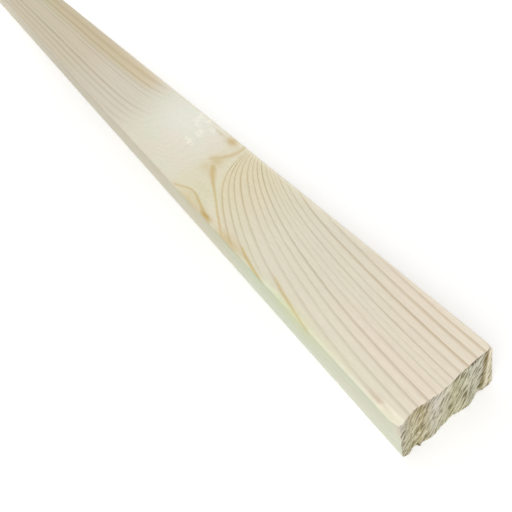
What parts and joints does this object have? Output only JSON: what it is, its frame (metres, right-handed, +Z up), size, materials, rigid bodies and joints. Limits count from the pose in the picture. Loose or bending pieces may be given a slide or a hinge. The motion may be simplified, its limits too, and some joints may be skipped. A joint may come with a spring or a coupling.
{
  "type": "timber plank",
  "caption": "Planed softwood plank, a slim rectangular batten with eased arrises, a rough out-of-square saw cut and a torn arris, for framing and joinery.",
  "frame": {"origin": "middle of the underside, on the floor that the plank lies on", "axes": "+X along the grain towards the rough saw cut, +Y across the width, +Z up through the thickness"},
  "size_m": [1, 0.044, 0.024],
  "materials": {
    "planed_pine": "planed bare softwood, with sawn end grain"
  },
  "bodies": {
    "root": {"plank": "planed_pine"}
  },
  "joints": []
}
